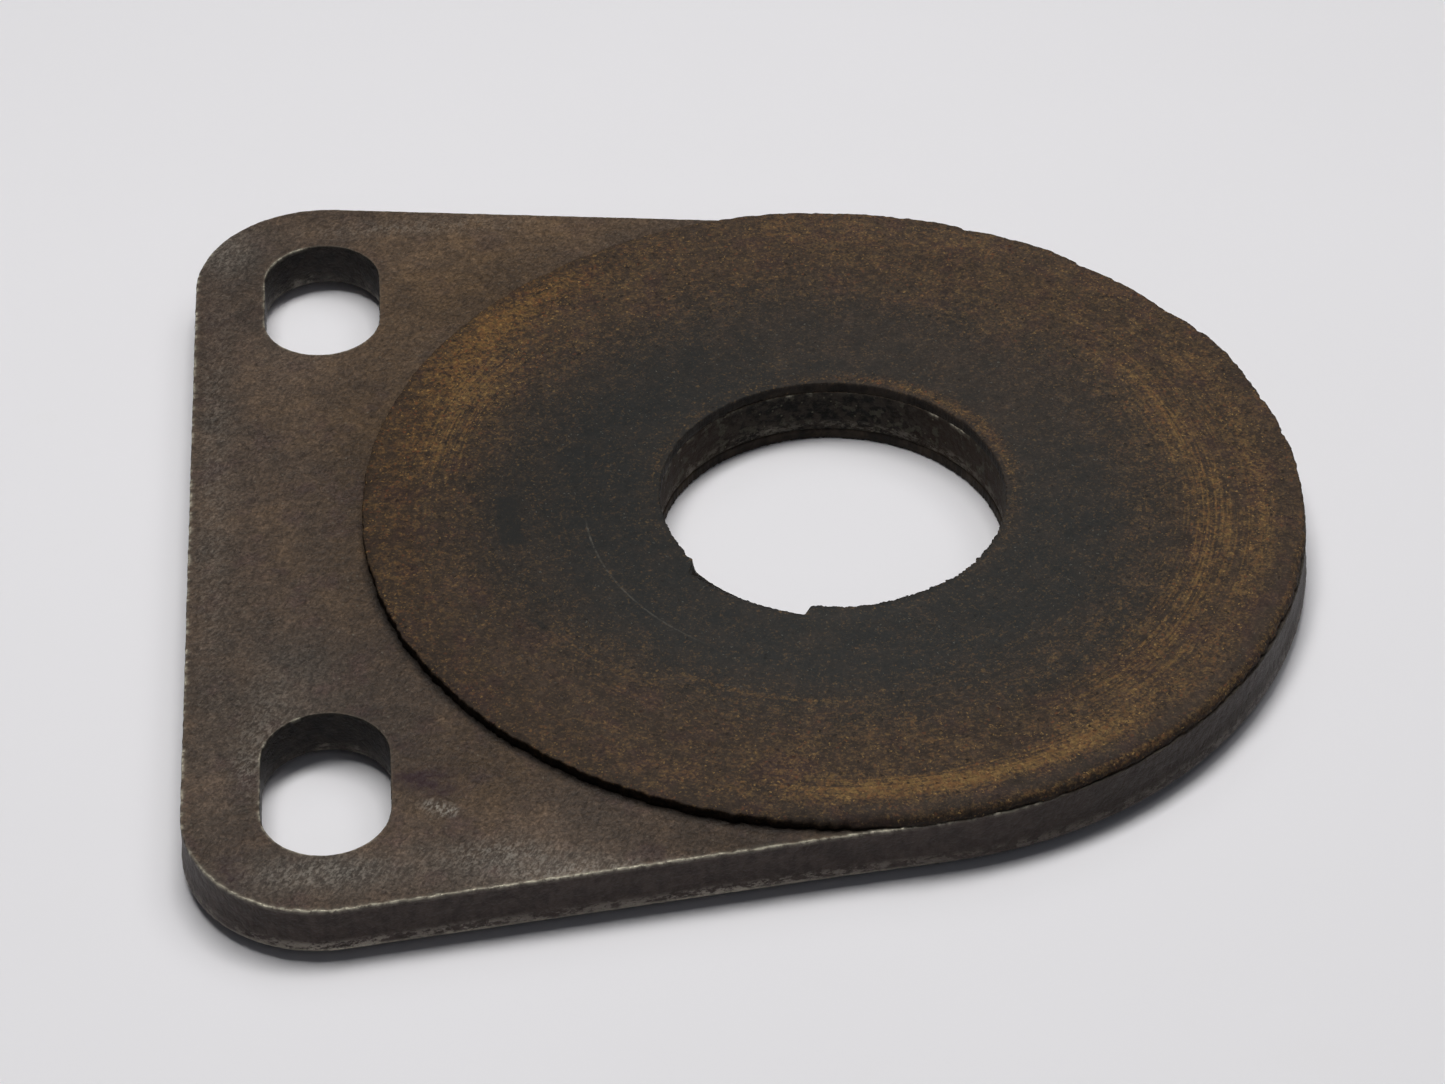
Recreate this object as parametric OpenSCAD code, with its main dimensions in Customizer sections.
// Pad eye: a flat steel eye plate with a wear facing bonded to each side.
// Millimetres. The origin is the centre of the eye, in the plate's middle plane.
// +Z is the eye's axis and points up. +X points to the round end, -X to the
// straight end with the two fixing slots.

/* [Plate] */
// Thickness of the steel plate
plate_t = 6.35; // [4:0.05:10]
// Radius of the round end, about the eye's centre
nose_r = 60.6; // [58:0.1:66]
// Distance from the eye's centre to the straight end
tail_x = 82.55; // [76:0.05:95]
// Taper of each long edge, in degrees: the plate grows wider towards the straight end
edge_taper = 7.14; // [0:0.02:9]
// Radius of the two corners at the straight end
corner_r = 17.46; // [6:0.02:20]

/* [Eye] */
// Diameter of the eye through the plate
eye_d = 44.45; // [30:0.05:60]

/* [Fixing slots] */
// Width of each fixing slot, which is the diameter of its round ends
slot_w = 15.5; // [8:0.05:16.5]
// End-to-end length of each fixing slot, along the plate's width
slot_len = 24.3; // [17:0.05:28]
// Distance from the eye's centre to the slots' centre line
slot_x = 65.35; // [64.5:0.01:68]
// Distance between the two slots' centres
slot_spacing = 95.25; // [80:0.05:98]

/* [Facings] */
// Outside diameter of each facing ring
facing_od = 120.65; // [100:0.05:121]
// How much wider the facing's hole is than the eye, on the diameter
facing_relief = 0.6; // [0.2:0.1:3]
// Thickness of each facing
facing_t = 1.5; // [1:0.05:4]
// Small bevel on the facing's two exposed edges
facing_bevel = 0.25; // [0.05:0.05:0.5]
// Thickness of the adhesive film under each facing
film_t = 0.1; // [0.05:0.01:0.3]
// How far the film's edges stop short of the facing's edges
film_inset = 0.35; // [0.1:0.05:1]

/* [Hidden] */
$fn = 96;
large_fn = 180; // segments for the round end, the eye and the rings

steel_color = [0.29, 0.255, 0.225];
facing_color = [0.33, 0.26, 0.19];
film_color = [0.07, 0.065, 0.06];

// Middle plane to the plate's face, and to the facing's inner face
face_z = plate_t / 2;
facing_z = face_z + film_t;

// Unit direction square to the long edge, on the +Y side
edge_normal = [sin(edge_taper), cos(edge_taper)];
// Centre of the +Y corner's arc: corner_r inside both the straight end and the long edge
corner_x = corner_r - tail_x;
corner_y = (nose_r - corner_r - corner_x * edge_normal[0]) / edge_normal[1];
corner_centre = [corner_x, corner_y];
// Where the long edge leaves the round end and meets the corner's arc
nose_tangent = nose_r * edge_normal;
edge_tangent = corner_centre + corner_r * edge_normal;
// Where the corner's arc meets the straight end
tail_tangent = [-tail_x, corner_y];

facing_r = facing_od / 2;
facing_hole_r = (eye_d + facing_relief) / 2;

// A 2D point mirrored in the X axis
function flip(point) = [point[0], -point[1]];

// The plate seen from above, without its openings. The circles fill out the
// polygon's round end and its two notched corners.
module plate_outline() {
    polygon([
        [0, 0],
        nose_tangent, edge_tangent, corner_centre, tail_tangent,
        flip(tail_tangent), flip(corner_centre), flip(edge_tangent), flip(nose_tangent)
    ]);
    circle(r = nose_r, $fn = large_fn);
    for (side = [-1, 1])
        translate([corner_x, side * corner_y]) circle(r = corner_r);
}

// One obround opening: two round ends joined by flats that run along Y
module obround(width, length) {
    for (side = [-1, 1])
        translate([0, side * (length - width) / 2]) circle(d = width);
    square([width, length - width], center = true);
}

// The steel plate with the eye and the two fixing slots.
// The cutters are twice the plate's thickness, so they pass both faces.
module eye_plate() {
    color(steel_color)
        difference() {
            translate([0, 0, -face_z]) linear_extrude(height = plate_t) plate_outline();
            translate([0, 0, -plate_t]) cylinder(d = eye_d, h = 2 * plate_t, $fn = large_fn);
            for (side = [-1, 1])
                translate([-slot_x, side * slot_spacing / 2, -plate_t])
                    linear_extrude(height = 2 * plate_t) obround(slot_w, slot_len);
        }
}

// A flat ring on the eye's axis, from z0 up, with an optional bevel on its upper rims
module ring(r_in, r_out, z0, t, bevel = 0) {
    top = z0 + t;
    rotate_extrude($fn = large_fn)
        polygon(bevel > 0
            ? [[r_in, z0], [r_out, z0], [r_out, top - bevel], [r_out - bevel, top],
               [r_in + bevel, top], [r_in, top - bevel]]
            : [[r_in, z0], [r_out, z0], [r_out, top], [r_in, top]]);
}

// Wear facing in its upper place
module facing() {
    ring(facing_hole_r, facing_r, facing_z, facing_t, facing_bevel);
}

// Adhesive film in its upper place
module bond_film() {
    ring(facing_hole_r + film_inset, facing_r - film_inset, face_z, film_t);
}

module upper_bond_film() {
    color(film_color) bond_film();
}

module upper_facing() {
    color(facing_color) facing();
}

// The lower pieces mirror the upper ones in the plate's middle plane
module lower_bond_film() {
    color(film_color) mirror([0, 0, 1]) bond_film();
}

module lower_facing() {
    color(facing_color) mirror([0, 0, 1]) facing();
}

eye_plate();
upper_bond_film();
upper_facing();
lower_bond_film();
lower_facing();
